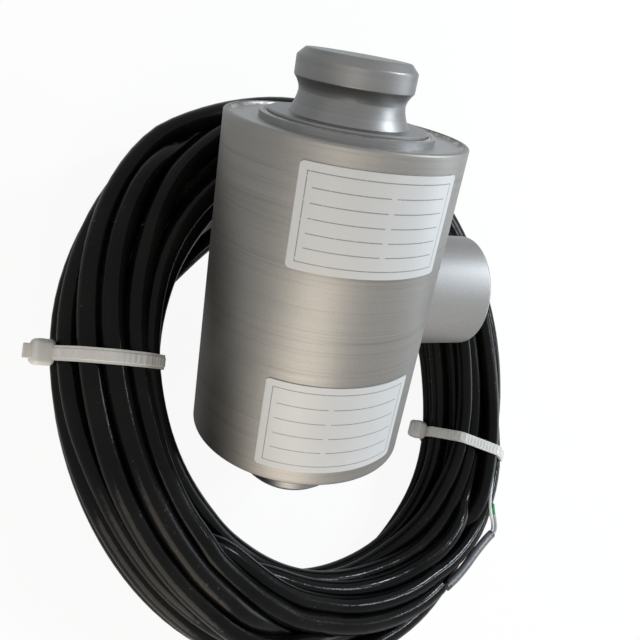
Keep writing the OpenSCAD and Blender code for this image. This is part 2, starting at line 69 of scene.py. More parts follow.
class Sock:
    """A shader socket that Python's arithmetic works on."""

    def __init__(self, shader: Shader, socket: bpy.types.NodeSocket) -> None:
        """Keeps the socket and the shader that it belongs to."""
        self.shader = shader
        self.socket = socket

    def math(self, operation: str, *others: Number) -> Sock:
        """Adds a Math node on this socket.

        Args:
            operation: the Math node's operation.
            others: the node's other values.

        Returns:
            The node's result.
        """
        return self.shader.node("ShaderNodeMath", {"operation": operation}, self, *others)

    def __add__(self, other: Number) -> Sock:
        """This plus a value."""
        return self.math("ADD", other)

    __radd__ = __add__

    def __mul__(self, other: Number) -> Sock:
        """This times a value."""
        return self.math("MULTIPLY", other)

    __rmul__ = __mul__

    def __sub__(self, other: Number) -> Sock:
        """This less a value."""
        return self.math("SUBTRACT", other)

    def __rsub__(self, other: float) -> Sock:
        """A value less this."""
        return self.shader.node("ShaderNodeMath", {"operation": "SUBTRACT"}, other, self)

    def __truediv__(self, other: Number) -> Sock:
        """This over a value."""
        return self.math("DIVIDE", other)

    def __gt__(self, other: Number) -> Sock:
        """One where this is more than a value, and zero elsewhere."""
        return self.math("GREATER_THAN", other)

    def __lt__(self, other: Number) -> Sock:
        """One where this is less than a value, and zero elsewhere."""
        return self.math("LESS_THAN", other)

    def within(self, low: float, high: float) -> Sock:
        """One between two values, and zero outside them."""
        return (self > low) * (self < high)

    def remap(self, low: float, high: float, to_low: float = 0.0, to_high: float = 1.0) -> Sock:
        """This stretched from one range to another, clamped.

        Args:
            low: start of the range that comes in.
            high: end of the range that comes in.
            to_low: start of the range that goes out.
            to_high: end of the range that goes out.

        Returns:
            The stretched value.
        """
        return self.shader.node(
            "ShaderNodeMapRange", {"interpolation_type": "SMOOTHSTEP"}, self, low, high, to_low, to_high
        )

    def blend(self, low: Colour | Sock, high: Colour | Sock) -> Sock:
        """A colour mixed between two by this value.

        Args:
            low: the colour where this is zero.
            high: the colour where this is one.

        Returns:
            The mixed colour.
        """
        return self.shader.node(
            "ShaderNodeMix", {"data_type": "RGBA"}, output="Result_Color",
            Factor_Float=self, A_Color=low, B_Color=high,
        )


class Shader:
    """A node material that is built one expression at a time."""

    def __init__(self, name: str) -> None:
        """Starts an empty node tree for a material of that name."""
        self.material = bpy.data.materials.new(name)
        self.material.use_nodes = True
        self.tree = self.material.node_tree
        self.tree.nodes.clear()

    def node(
        self,
        kind: str,
        settings: dict[str, object] | None = None,
        *values: object,
        output: str | int = 0,
        **sockets: object,
    ) -> Sock:
        """Adds a node, sets it up and joins it.

        Args:
            kind: the node's type.
            settings: the node's own settings, which are set first.
            values: values or links of its first sockets, in order.
            output: identifier or number of the output that is wanted.
            sockets: values or links of its sockets, by identifier.

        Returns:
            The wanted output.
        """
        made = self.tree.nodes.new(kind)
        for key, value in (settings or {}).items():
            if key == "stops":
                self._set_stops(made, value)
            else:
                setattr(made, key, value)
        by_identifier = {socket.identifier: socket for socket in made.inputs}
        by_name = {socket.name.replace(" ", "_"): socket for socket in made.inputs}
        targets = [(made.inputs[i], value) for i, value in enumerate(values)]
        targets += [
            (by_identifier.get(key) or by_name[key], value) for key, value in sockets.items()
        ]
        for target, value in targets:
            if isinstance(value, Sock):
                self.tree.links.new(value.socket, target)
            elif target.type == "RGBA":
                target.default_value = (*value, 1.0)
            else:
                target.default_value = value
        if isinstance(output, int):
            return Sock(self, made.outputs[output]) if made.outputs else Sock(self, None)
        return Sock(self, next(s for s in made.outputs if s.identifier == output))

    @staticmethod
    def _set_stops(ramp: bpy.types.Node, stops: Sequence[tuple[float, Colour]]) -> None:
        """Gives a colour ramp its stops."""
        elements = ramp.color_ramp.elements
        while len(elements) < len(stops):
            elements.new(0.5)
        for element, (place, colour) in zip(elements, stops):
            element.position = place
            element.color = (*colour, 1.0)

    def coords(self, place: Placement | None = None, scale: Sequence[float] = (1, 1, 1)) -> Sock:
        """Object coordinates, in another frame if one is given.

        Args:
            place: the frame that the coordinates are wanted in.
            scale: what each of them is multiplied by.

        Returns:
            The coordinates as a vector.
        """
        own = self.node("ShaderNodeTexCoord", output="Object")
        place = place or Placement()
        return self.node(
            "ShaderNodeMapping", {"vector_type": "TEXTURE"}, own,
            Location=place.origin, Rotation=place.turn, Scale=[1 / s for s in scale],
        )

    def parts(self, vector: Sock) -> tuple[Sock, Sock, Sock]:
        """The three numbers of a vector."""
        split = self.node("ShaderNodeSeparateXYZ", None, vector)
        outputs = split.socket.node.outputs
        return tuple(Sock(self, socket) for socket in outputs)

    def noise(self, vector: Sock, scale: float, detail: float = 3.0, rough: float = 0.5) -> Sock:
        """Soft noise from 0 to 1.

        Args:
            vector: where the noise is read.
            scale: waves in each metre of that vector.
            detail: octaves of finer noise.
            rough: strength of the finer octaves.

        Returns:
            The noise value.
        """
        return self.node(
            "ShaderNodeTexNoise", None, vector, Scale=scale, Detail=detail, Roughness=rough
        )

    def bump(self, height: Sock, depth: float, under: Sock | None = None) -> Sock:
        """A normal bent by a height.

        Args:
            height: the height, from 0 to 1.
            depth: depth in metres of the full height.
            under: another bump that this one lies on.

        Returns:
            The bent normal.
        """
        more = {"Normal": under} if under else {}
        return self.node("ShaderNodeBump", None, Strength=1.0, Distance=depth, Height=height, **more)

    def surface(self, **sockets: object) -> bpy.types.Material:
        """Ends the material in a Principled shader with those sockets.

        Args:
            sockets: the shader's sockets by name, with a line for each blank.

        Returns:
            The finished material.
        """
        shader = self.node("ShaderNodeBsdfPrincipled", None, **sockets)
        self.node("ShaderNodeOutputMaterial", None, shader)
        return self.material


@dataclass(frozen=True)
class Placement:
    """A frame that stands somewhere in the scene, as Mapping nodes take it."""

    origin: tuple[float, float, float] = (0.0, 0.0, 0.0)
    turn: tuple[float, float, float] = (0.0, 0.0, 0.0)

    def matrix(self) -> Matrix:
        """The frame's matrix, from its own coordinates to the scene's."""
        return Matrix.Translation(self.origin) @ Euler(self.turn).to_matrix().to_4x4()


def cell_placement(side_turn: float = -20.5) -> Placement:
    """Where the leaning cell stands, from its two load buttons.

    Args:
        side_turn: turn of the side housing about the load axis, in degrees.

    Returns:
        The frame with the load axis along Z and the side housing along X.
    """
    mounts = {mount["name"]: mount for mount in frame["record"]["mounts"]}
    upper = Vector(mounts["upper_button"]["pos_m"])
    lower = Vector(mounts["lower_button"]["pos_m"])
    axis = (upper - lower).normalized()
    lean = math.atan2(axis.z, axis.y)
    turn = Matrix.Rotation(lean - math.pi / 2, 3, "X") @ Matrix.Rotation(math.radians(side_turn), 3, "Z")
    return Placement(tuple((upper + lower) / 2), tuple(turn.to_euler()))


CELL = cell_placement()


@dataclass(frozen=True)
class BlastedSteel:
    """Satin steel with a fine blasted grain and turned lines round the load axis."""

    name: str = "housing_satin"
    colour: Colour = (0.222, 0.216, 0.205)
    roughness: float = 0.51
    lines: float = 1.0
    grain: float = 1.0

    def make(self) -> bpy.types.Material:
        """Builds the material."""
        shader = Shader(self.name)
        own = shader.coords(CELL)
        _, _, height = shader.parts(own)
        ring_wise = shader.coords(CELL, (6, 6, 900))
        wide = shader.noise(shader.coords(CELL, (4, 4, 130)), 1.0, 2)
        lines = shader.noise(ring_wise, 1.0, 4, 0.7)
        streaks = (shader.noise(shader.coords(CELL, (14, 14, 420)), 1.0, 3) - 0.5) * wide.remap(0.42, 0.62)
        grain = shader.noise(own, 2600, 2, 0.6)
        patch = shader.noise(own, 28, 3)
        scores = shader.noise(shader.coords(CELL, (16, 16, 1700)), 1.0, 3, 0.6).remap(0.36, 0.5)
        dark = (1.0 - scores) * wide.remap(0.36, 0.6, 0.4, 1.0)
        tone = 0.98 + patch * 0.1 + streaks * (0.26 * self.lines) + (grain - 0.5) * (0.3 * self.grain)
        tone = tone - dark * (0.16 * self.lines)
        colour = shader.node(
            "ShaderNodeVectorMath", {"operation": "SCALE"}, self.colour, Scale=tone, output="Vector"
        )
        bump = shader.bump(lines, 1.2e-5 * self.lines)
        bump = shader.bump(grain, 2.4e-5 * self.grain, bump)
        rough = self.roughness + (patch - 0.5) * 0.1 + (lines - 0.5) * (0.08 * self.lines)
        return shader.surface(Base_Color=colour, Metallic=1.0, Roughness=rough, Normal=bump)


@dataclass(frozen=True)
class TurnedSteel:
    """Finer turned steel of the load column and the end plates."""

    name: str = "column_turned"
    colour: Colour = (0.19, 0.19, 0.188)
    roughness: float = 0.42
    depth: float = 0.8e-5

    def make(self) -> bpy.types.Material:
        """Builds the material."""
        shader = Shader(self.name)
        across, along, height = shader.parts(shader.coords(CELL))
        radius = (across * across + along * along).math("SQRT")
        rings = shader.node(
            "ShaderNodeCombineXYZ", None, radius * 700.0, height * 900.0, 0.0
        )
        lines = shader.noise(rings, 1.0, 4, 0.65)
        patch = shader.noise(shader.coords(CELL), 45, 3)
        colour = (lines * 0.5 + patch * 0.5).remap(0.3, 0.7).blend(
            tuple(c * 0.9 for c in self.colour), tuple(min(c * 1.08, 1.0) for c in self.colour)
        )
        rough = self.roughness + (patch - 0.5) * 0.12
        return shader.surface(
            Base_Color=colour, Metallic=1.0, Roughness=rough, Normal=shader.bump(lines, self.depth)
        )


@dataclass(frozen=True)
class WeldBead:
    """Bright, uneven weld metal."""

    name: str = "weld_bead"
    colour: Colour = (0.50, 0.50, 0.49)

    def make(self) -> bpy.types.Material:
        """Builds the material."""
        shader = Shader(self.name)
        own = shader.coords(CELL)
        lumps = shader.noise(own, 900, 3, 0.6)
        stain = shader.noise(own, 300, 2)
        colour = stain.remap(0.35, 0.65).blend((0.30, 0.28, 0.25), self.colour)
        return shader.surface(
            Base_Color=colour, Metallic=1.0, Roughness=lumps.remap(0.2, 0.8, 0.42, 0.65),
            Normal=shader.bump(lumps, 1.6e-4),
        )


@dataclass(frozen=True)
class Plastic:
    """A plain moulded or drawn plastic with a little unevenness."""

    name: str
    colour: Colour
    roughness: float = 0.4
    lumps: float = 3e-5
    lump_scale: float = 500.0
    glow: float = 0.0
    marks: tuple[tuple[tuple[float, float, float], float, float], ...] = ()
    mark_colour: Colour = (0.02, 0.02, 0.022)

    def make(self) -> bpy.types.Material:
        """Builds the material."""
        shader = Shader(self.name)
        own = shader.coords()
        uneven = shader.noise(own, self.lump_scale, 3)
        patch = shader.noise(own, 60, 3)
        lighter = tuple(min(c * 1.15 + 0.004, 1.0) for c in self.colour)
        colour = patch.remap(0.3, 0.7).blend(self.colour, lighter)
        for place, low, high in self.marks:
            point = tuple(c * MM for c in place)
            far = shader.node("ShaderNodeVectorMath", {"operation": "DISTANCE"}, own, point, output="Value")
            colour = far.within(low * MM, high * MM).blend(colour, self.mark_colour)
        rough = self.roughness + (patch - 0.5) * 0.2
        return shader.surface(
            Base_Color=colour, Roughness=rough, Normal=shader.bump(uneven, self.lumps),
            Subsurface_Weight=self.glow, Subsurface_Radius=(0.002, 0.002, 0.002),
        )


@dataclass(frozen=True)
class Jacket:
    """The cable's glossy black jacket, drawn over twisted cores and a little scuffed."""

    name: str = "cable_jacket"
    colour: Colour = (0.002, 0.0022, 0.0026)
    roughness: float = 0.17

    def make(self) -> bpy.types.Material:
        """Builds the material."""
        shader = Shader(self.name)
        own = shader.coords()
        swell = shader.noise(own, 90, 2)
        ripple = shader.noise(own, 420, 3, 0.6)
        film = shader.noise(own, 35, 3)
        specks = shader.noise(own, 1300, 1) > 0.79
        scuffs = shader.noise(shader.coords(None, (1, 1, 0.25)), 700, 2).remap(0.66, 0.76)
        worn = specks * 0.5 + scuffs * film.remap(0.5, 0.7)
        colour = film.remap(0.35, 0.7).blend(self.colour, (0.006, 0.0057, 0.0052))
        colour = worn.math("MINIMUM", 1.0).blend(colour, (0.09, 0.09, 0.088))
        rough = self.roughness + (film - 0.5) * 0.2 + worn * 0.3
        bump = shader.bump(swell, 3.0e-4)
        bump = shader.bump(ripple, 5e-5, bump)
        return shader.surface(Base_Color=colour, Roughness=rough, Specular_IOR_Level=0.09, Normal=bump)


@dataclass(frozen=True)
class PrintedFilm:
    """White film label with plain rules printed on it."""

    name: str
    middle: float
    rules: tuple[tuple[float, float, float, float], ...]
    colour: Colour = (0.56, 0.58, 0.60)
    ink: Colour = (0.22, 0.23, 0.25)
    radius: float = 38 * MM
    label_at: float = -91.5

    def make(self) -> bpy.types.Material:
        """Builds the material."""
        shader = Shader(self.name)
        own = shader.coords(CELL)
        across, along, level = shader.parts(own)
        turned = along.math("ARCTAN2", across) - math.radians(self.label_at)
        sideways = turned * self.radius
        upward = level - self.middle
        ink = None
        for left, right, low, high in self.rules:
            rule = sideways.within(left, right) * upward.within(low, high)
            ink = rule if ink is None else ink + rule
        worn = shader.noise(own, 1800, 2).remap(0.25, 0.4)
        patch = shader.noise(own, 40, 3)
        paper = patch.remap(0.3, 0.7).blend(self.colour, tuple(c * 0.96 for c in self.colour))
        colour = (ink * worn).blend(paper, self.ink)
        fibre = shader.noise(own, 2200, 2)
        return shader.surface(
            Base_Color=colour, Roughness=0.42 + (patch - 0.5) * 0.15, Normal=shader.bump(fibre, 4e-6)
        )


def tube_tree(name: str, sides: int) -> bpy.types.GeometryNodeTree:
    """A Geometry Nodes tree that sweeps a round section along a curve.

    Args:
        name: the tree's name.
        sides: facets round the section.

    Returns:
        The tree, with inputs named Diameter and Finish.
    """
    tree = bpy.data.node_groups.new(name, "GeometryNodeTree")
    face = tree.interface
    face.new_socket("Geometry", in_out="INPUT", socket_type="NodeSocketGeometry")
    face.new_socket("Diameter", in_out="INPUT", socket_type="NodeSocketFloat")
    face.new_socket("Finish", in_out="INPUT", socket_type="NodeSocketMaterial")
    face.new_socket("Geometry", in_out="OUTPUT", socket_type="NodeSocketGeometry")
    nodes, link = tree.nodes, tree.links.new
    start = nodes.new("NodeGroupInput")
    half = nodes.new("ShaderNodeMath")
    half.operation = "DIVIDE"
    half.inputs[1].default_value = 2.0
    link(start.outputs["Diameter"], half.inputs[0])
    section = nodes.new("GeometryNodeCurvePrimitiveCircle")
    section.inputs["Resolution"].default_value = sides
    link(half.outputs[0], section.inputs["Radius"])
    sweep = nodes.new("GeometryNodeCurveToMesh")
    sweep.inputs["Fill Caps"].default_value = True
    link(start.outputs["Geometry"], sweep.inputs["Curve"])
    link(section.outputs["Curve"], sweep.inputs["Profile Curve"])
    realise = nodes.new("GeometryNodeRealizeInstances")
    link(sweep.outputs["Mesh"], realise.inputs["Geometry"])
    finish = nodes.new("GeometryNodeSetMaterial")
    link(realise.outputs["Geometry"], finish.inputs["Geometry"])
    link(start.outputs["Finish"], finish.inputs["Material"])
    end = nodes.new("NodeGroupOutput")
    link(finish.outputs["Geometry"], end.inputs["Geometry"])
    return tree


def applied(obj: bpy.types.Object, tree: bpy.types.GeometryNodeTree, inputs: dict[str, object]) -> bpy.types.Mesh:
    """Runs a Geometry Nodes tree on an object and keeps the result as a plain mesh.

    Args:
        obj: the object that the tree reads.
        tree: the tree.
        inputs: values of the tree's inputs, by name.

    Returns:
        The mesh that came out.
    """
    modifier = obj.modifiers.new("shape", "NODES")
    modifier.node_group = tree
    for item in tree.interface.items_tree:
        if item.in_out == "INPUT" and item.name in inputs:
            modifier[item.identifier] = inputs[item.name]
    graph = bpy.context.evaluated_depsgraph_get()
    mesh = bpy.data.meshes.new_from_object(obj.evaluated_get(graph))
    obj.modifiers.remove(modifier)
    return mesh


def piece_from(name: str, mesh: bpy.types.Mesh, smooth_below: float = 40.0) -> bpy.types.Object:
    """Makes a finished piece of a mesh: normals outwards, shaded smooth, riding on the root.

    Args:
        name: the piece's name.
        mesh: its mesh, in place.
        smooth_below: the angle in degrees above which an edge stays sharp.

    Returns:
        The piece.
    """
    build = bmesh.new()
    build.from_mesh(mesh)
    bmesh.ops.remove_doubles(build, verts=build.verts, dist=1e-7)
    bmesh.ops.recalc_face_normals(build, faces=build.faces)
    for face in build.faces:
        face.smooth = True
    for edge in build.edges:
        edge.smooth = len(edge.link_faces) == 2 and edge.calc_face_angle() < math.radians(smooth_below)
    build.to_mesh(mesh)
    build.free()
    mesh.name = name
    obj = bpy.data.objects.new(name, mesh)
    bpy.context.scene.collection.objects.link(obj)
    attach(obj, "root")
    return obj


def tube(
    name: str, points: np.ndarray, diameter: float, finish: bpy.types.Material, sides: int = 14
) -> bpy.types.Object:
    """A round tube along a line of points.

    Args:
        name: the piece's name.
        points: the points, in metres.
        diameter: the tube's diameter.
        finish: its material.
        sides: facets round it.

    Returns:
        The piece.
    """
    curve = bpy.data.curves.new(name + "_line", "CURVE")
    curve.dimensions = "3D"
    line = curve.splines.new("POLY")
    line.points.add(len(points) - 1)
    line.points.foreach_set("co", np.c_[points, np.ones(len(points))].ravel())
    carrier = bpy.data.objects.new(name + "_line", curve)
    bpy.context.scene.collection.objects.link(carrier)
    mesh = applied(carrier, tube_tree(name + "_tube", sides), {"Diameter": diameter, "Finish": finish})
    bpy.data.objects.remove(carrier)
    return piece_from(name, mesh)


def smooth_line(points: Sequence[Sequence[float]], steps: int) -> np.ndarray:
    """A Catmull-Rom curve through points.

    Args:
        points: the points that the curve passes.
        steps: how many steps each stretch is cut into.

    Returns:
        The curve's points, one row each.
    """
    ends = np.asarray(points, float)
    ends = np.vstack([2 * ends[0] - ends[1], ends, 2 * ends[-1] - ends[-2]])
    way = []
    for i in range(1, len(ends) - 2):
        before, here, there, after = ends[i - 1:i + 3]
        for t in np.arange(steps) / steps:
            way.append(0.5 * (
                2 * here + (there - before) * t + (2 * before - 5 * here + 4 * there - after) * t * t
                + (3 * here - before - 3 * there + after) * t ** 3
            ))
    return np.vstack([way, ends[-2]])


@dataclass
class CellBody:
    """The outside of the leaning cell, as the settling cable feels it. Sizes are in millimetres."""

    tube_r: float = 38.0
    half_length: float = 54.3
    button_r: float = 20.0
    button_reach: float = 74.5
    side_r: float = 19.7
    side_reach: float = 56.785
    gland_x: float = 41.485
    gland_r: float = 8.8
    gland_reach: float = 38.45

    @staticmethod
    def _rod(radial: np.ndarray, axial: np.ndarray, radius: float, low: float, high: float) -> np.ndarray:
        """Distance to a rod, from a point's distances along and from the rod's axis."""
        out = radial - radius
        past = np.maximum(low - axial, axial - high)
        both = (out > 0) & (past > 0)
        return np.where(both, np.hypot(out, past), np.maximum(out, past))

    def distance(self, points: np.ndarray) -> np.ndarray:
        """Distance from points to the cell.

        Args:
            points: the points, in millimetres in the scene's frame.

        Returns:
            The distance of each, less than zero inside the cell.
        """
        back = np.array(CELL.matrix().inverted())
        x, y, z = (points @ back[:3, :3].T + back[:3, 3] / MM).T
        rods = (
            self._rod(np.hypot(x, y), z, self.tube_r, -self.half_length, self.half_length),
            self._rod(np.hypot(x, y), z, self.button_r, -self.button_reach, self.button_reach),
            self._rod(np.hypot(y, z), x, self.side_r, 0, self.side_reach),
            self._rod(np.hypot(x - self.gland_x, z), y, self.gland_r, 0, self.gland_reach),
        )
        return np.minimum.reduce(rods)


@dataclass(frozen=True)
class Lay:
    """Where one visible stretch of the cable is laid: azimuth, radius and height along it."""

    turn: int
    hold: float
    ease: float
    stops: tuple[tuple[float, float, float], ...]


LAYS = (
    Lay(18, 0.5, 6, (
        (106, 111.5, 24), (112, 113.5, 24), (119, 113, 24.5), (130, 112, 26), (136, 111.5, 27.5),
        (141, 111, 29.5), (145, 110.5, 32), (149, 109.5, 34.5), (154, 108, 36.5), (158, 106, 38.5),
        (163, 104, 39.5), (170, 101.5, 40), (178, 99, 40.5), (190, 97.2, 40.5), (207, 95.5, 40),
        (217, 94.7, 38), (230, 96, 36),
    )),
    Lay(17, 0.45, 8, (
        (113, 110, 33), (121, 109.5, 33.5), (127, 108, 34), (134, 106.5, 35), (143, 106, 37),
        (148, 104, 38), (154, 101, 38.5), (163, 97.5, 38.5), (170, 94, 38.5), (179, 91.8, 38.5),
        (190, 89.7, 38.5), (201, 88.8, 39), (224, 89.3, 39.5), (238, 92, 38.5), (251, 98, 37),
    )),
    Lay(19, 0.5, 14, (
        (114, 104.7, 35.5), (121, 102.3, 36), (131, 98.5, 37), (140, 95.2, 38), (150, 91.4, 38.5),
        (158, 89, 38.5), (166, 86.8, 38), (174, 85.4, 38), (181, 84.3, 37.5), (191, 83.7, 37.5),
        (204, 84.6, 38), (215, 84.8, 38.5), (229, 86, 39.5), (241.5, 87.7, 40.5), (254, 91.6, 40.8),
        (264, 94.6, 40.8), (274, 97.8, 40.8), (282.6, 101.8, 40.6), (290, 106.6, 40.4),
    )),
    Lay(16, 0.45, 10, (
        (189, 76, 30), (200, 76.5, 32), (210, 77, 33.5), (218, 77.5, 34.5), (230, 78.5, 36),
        (242, 80.5, 37), (256, 84.2, 38), (272, 89.7, 38.5), (282, 93.5, 38.5), (290, 98.4, 38.5), (301, 104.5, 38.5),
        (309, 107.5, 38.5), (318, 107.5, 38), (330, 105.5, 37.5), (345, 102, 36),
    )),
    Lay(15, 0.4, 10, (
        (208, 73.8, 27), (217, 73.6, 28), (233, 74.5, 30.5), (247, 75.8, 33), (260, 78, 35),
        (274, 82.8, 37), (290, 91.2, 38), (305, 97, 38), (318, 99.5, 38), (330, 98.5, 38),
    )),
    Lay(14, 0.35, 10, (
        (213, 71.5, 20.5), (229, 72, 22.5), (257, 73.5, 27), (277, 77.5, 30), (290, 83.8, 31),
    )),
)


@dataclass
class CoiledCable:
    """The cable: its lead from the gland, its settled turns and its free tail. In millimetres.

    The turns start as rows of a bundle, one place further in each turn, and the bundle twists a
    little as it goes round. The stretches that the photograph shows best are laid along listed stops.
    """

    diameter: float = 7.5
    centre: tuple[float, float] = (14.764, -38.906)
    start: float = 82.0
    turns: float = 19 + 208 / 360
    steps: int = 120
    rounds: int = 260
    seed: int = 4
    rows: tuple[int, ...] = (2, 4, 4, 4, 4, 3)
    lead: tuple[tuple[float, float, float], ...] = (
        (46, 17, 27), (44.5, 22.5, 18.5), (40, 27.5, 11.5), (33, 31, 7), (25, 33, 4.6),
    )
    floor_lead: tuple[tuple[float, float, float], ...] = (
        (82, 73.2, 4.6), (97, 72.5, 4.0), (110, 71.5, 4.2), (122, 71.2, 5), (134, 72.5, 7),
        (142, 75.5, 9), (152, 80, 10.5),
    )
    twist: tuple[tuple[float, float], ...] = (
        (82, -30), (110, -35), (150, -20), (180, 10), (207, 25), (240, 25), (290, 0), (330, -15),
        (360, -20), (400, -28), (442, -30),
    )
    lays: tuple[Lay, ...] = LAYS
    body: CellBody = field(default_factory=CellBody)

    def exit_point(self) -> tuple[np.ndarray, np.ndarray]:
        """Where the cable leaves the gland's nut, and the way that it points there."""
        place = CELL.matrix()
        point = place @ Vector((self.body.gland_x * MM, self.body.gland_reach * MM, 0))
        way = place.to_3x3() @ Vector((0, 1, 0))
        return np.array(point) / MM, np.array(way)

    def outline(self, azimuth: np.ndarray) -> tuple[np.ndarray, np.ndarray, np.ndarray]:
        """The bundle's section at each azimuth.

        Args:
            azimuth: azimuths about the coil's centre, in degrees.

        Returns:
            Mean radius, half width and half height.
        """
        turn = np.radians(azimuth - 90)

        def near(place: float, width: float) -> np.ndarray:
            """A smooth rise round one azimuth."""
            return np.exp(-((((azimuth - place) + 180) % 360 - 180) / width) ** 2)

        radius = 94.6 * (1 + 0.054 * np.cos(2 * turn) + 0.039 * np.sin(2 * turn))
        half_width = 18.07 - 0.56 * np.cos(turn) - 2.0 * np.sin(turn)
        half_height = 20.6 - 0.6 * np.cos(turn)
        inner = radius - half_width - 9 * near(118, 24) - 4 * near(-14, 26) - 3.5 * near(238, 45)
        outer = radius + half_width - 1.5 * near(-62, 14) - 1.5 * near(-12, 22)
        outer = outer + 1.8 * near(130, 20) - 3 * near(90, 20)
        return (inner + outer) / 2, (outer - inner) / 2, half_height

    def _places(self) -> np.ndarray:
        """A place in the unit section for each turn, row by row from the floor up."""
        places = []
        for i, count in enumerate(self.rows):
            level = -0.97 + 1.94 * i / (len(self.rows) - 1)
            reach = min((1 - abs(level) ** 2.2) ** (1 / 2.2), (count - 1) * 0.285)
            row = np.linspace(-reach, reach, count)[:: -1 if i % 2 else 1]
            places += [(across, level) for across in row]
        return np.array(places)

    @staticmethod
    def _wander(rng: np.random.Generator, count: int, step: int, reach: float) -> np.ndarray:
        """A smooth random line.

        Args:
            rng: the random numbers.
            count: how many values are wanted.
            step: values from one knot of the line to the next.
            reach: the line's usual reach.

        Returns:
            The values.
        """
        knots = rng.normal(0, 1, int(count / step) + 4)
        place = np.arange(count) / step
        low = place.astype(int)
        part = place - low
        part = part * part * (3 - 2 * part)
        return reach * (knots[low] * (1 - part) + knots[low + 1] * part)

    @staticmethod
    def _smoothed(values: np.ndarray, reach: int, width: float) -> np.ndarray:
        """The values with each one averaged with its neighbours along the cable."""
        kernel = np.exp(-(np.arange(-reach, reach + 1) / width) ** 2)
        kernel /= kernel.sum()
        padded = np.vstack([values[:1].repeat(reach, 0), values, values[-1:].repeat(reach, 0)])
        return np.stack([np.convolve(padded[:, i], kernel, "valid") for i in (0, 1)], 1)

    def _stretch(self, stops: Sequence[Sequence[float]], turn: int, count: int) -> tuple[np.ndarray, ...]:
        """The points that lie along some stops, what is wanted there, and how far along each is."""
        table = np.array(stops, float)
        place = (table[:, 0] - self.start) / 360 * self.steps + turn * self.steps
        chosen = np.flatnonzero((np.arange(count) >= place[0]) & (np.arange(count) <= place[-1]))
        wanted = np.stack([np.interp(chosen, place, table[:, i]) for i in (1, 2)], 1)
        return chosen, wanted, np.stack([chosen - place[0], place[-1] - chosen])

    def _inside(self, section: np.ndarray, middle: np.ndarray, room: np.ndarray, share: float) -> np.ndarray:
        """The points with those beyond the bundle's outline drawn back to it by a share."""
        beyond = (np.abs((section - middle) / room) ** 2.2).sum(1) ** (1 / 2.2)
        back = np.where(beyond > 1, share * (1 / np.maximum(beyond, 1e-6) - 1), 0)
        return section + (section - middle) * back[:, None]

    def _targets(
        self, rng: np.random.Generator, middle: np.ndarray, room: np.ndarray
    ) -> tuple[np.ndarray, np.ndarray, np.ndarray]:
        """Where each point of the turns would like to lie, how much, and which are held fast."""
        count = len(middle)
        turn = np.arange(count) / self.steps
        places = self._places()
        low = turn.astype(int)
        part = turn - low
        part = (part * part * (3 - 2 * part))[:, None]
        own = places[low] * (1 - part) + places[low + 1] * part
        table = np.array(self.twist, float)
        angle = np.radians(np.interp(turn % 1 * 360 + self.start, table[:, 0], table[:, 1]))
        own = np.stack([
            own[:, 0] * np.cos(angle) - own[:, 1] * np.sin(angle),
            own[:, 0] * np.sin(angle) + own[:, 1] * np.cos(angle),
        ], 1)
        stray = np.stack([self._wander(rng, count, 26, 1.6), self._wander(rng, count, 26, 1.2)], 1)
        goal = middle + own * room + stray
        pull = np.full(count, 0.05)
        for lay in self.lays:
            chosen, wanted, ends = self._stretch(lay.stops, lay.turn, count)
            along = ends[0] if lay.turn > self.turns - 1 else ends.min(0)
            ease = np.clip(along / lay.ease, 0, 1)
            ease = (ease * ease * (3 - 2 * ease))[:, None]
            goal[chosen] = goal[chosen] * (1 - ease) + wanted * ease
            pull[chosen] = np.maximum(pull[chosen], lay.hold * ease[:, 0])
        chosen, wanted, _ = self._stretch(self.floor_lead, 0, count)
        goal[chosen] = wanted
        fast = np.zeros(count, bool)
        fast[chosen] = True
        base = middle * (1, 0)
        goal = base + self._smoothed(goal - base, 8, 4.0)
        for _ in range(4):
            goal = np.where(fast[:, None], goal, self._inside(goal, middle, room, 1.0))
        return goal, pull, fast

    def _world(self, section: np.ndarray, azimuth: np.ndarray) -> np.ndarray:
        """Points in the scene's frame, from their radius and height at each azimuth."""
        turn = np.radians(azimuth)
        return np.stack([
            self.centre[0] + section[:, 0] * np.cos(turn),
            self.centre[1] + section[:, 0] * np.sin(turn),
            section[:, 1],
        ], 1)

    def _push_apart(self, section: np.ndarray, rows: int) -> np.ndarray:
        """How far each point moves so that no two turns share the same room.

        Args:
            section: radius and height of each point.
            rows: turns that pass each azimuth at most.

        Returns:
            The moves.
        """
        count = len(section)
        grid = 1e6 + 1e3 * np.arange(2.0 * rows * self.steps).reshape(-1, 2)
        grid[:count] = section
        grid = grid.reshape(rows, self.steps, 2)
        apart = grid[:, None] - grid[None]
        distance = np.hypot(apart[..., 0], apart[..., 1])
        short = np.clip(self.diameter - 0.15 - distance, 0, None)
        short[np.arange(rows), np.arange(rows)] = 0
        moves = (apart * (short / np.maximum(distance, 0.05))[..., None]).sum(1)
        return 0.4 * moves.reshape(-1, 2)[:count]

    def _leave_cell(self, section: np.ndarray, azimuth: np.ndarray) -> np.ndarray:
        """How far each point moves to stay clear of the cell."""
        need = self.diameter / 2 + 0.6
        step = 0.2
        near = self.body.distance(self._world(section, azimuth))
        slope = np.stack([
            (self.body.distance(self._world(section + shift, azimuth)) - near) / step
            for shift in (np.array([step, 0.0]), np.array([0.0, step]))
        ], 1)
        steep = np.maximum((slope ** 2).sum(1), 0.15)
        return 0.7 * np.where(near < need, (need - near) / steep, 0)[:, None] * slope

    def _lowest(self, azimuth: np.ndarray) -> np.ndarray:
        """The lowest height of a turn's middle: on the floor, and over a strap at the ties."""
        strap = sum(
            np.exp(-((((azimuth - tie) + 180) % 360 - 180) / 9) ** 2) for tie in (163.5, -32.0)
        )
        return self.diameter / 2 + 0.05 + 1.75 * np.minimum(strap * 1.3, 1)

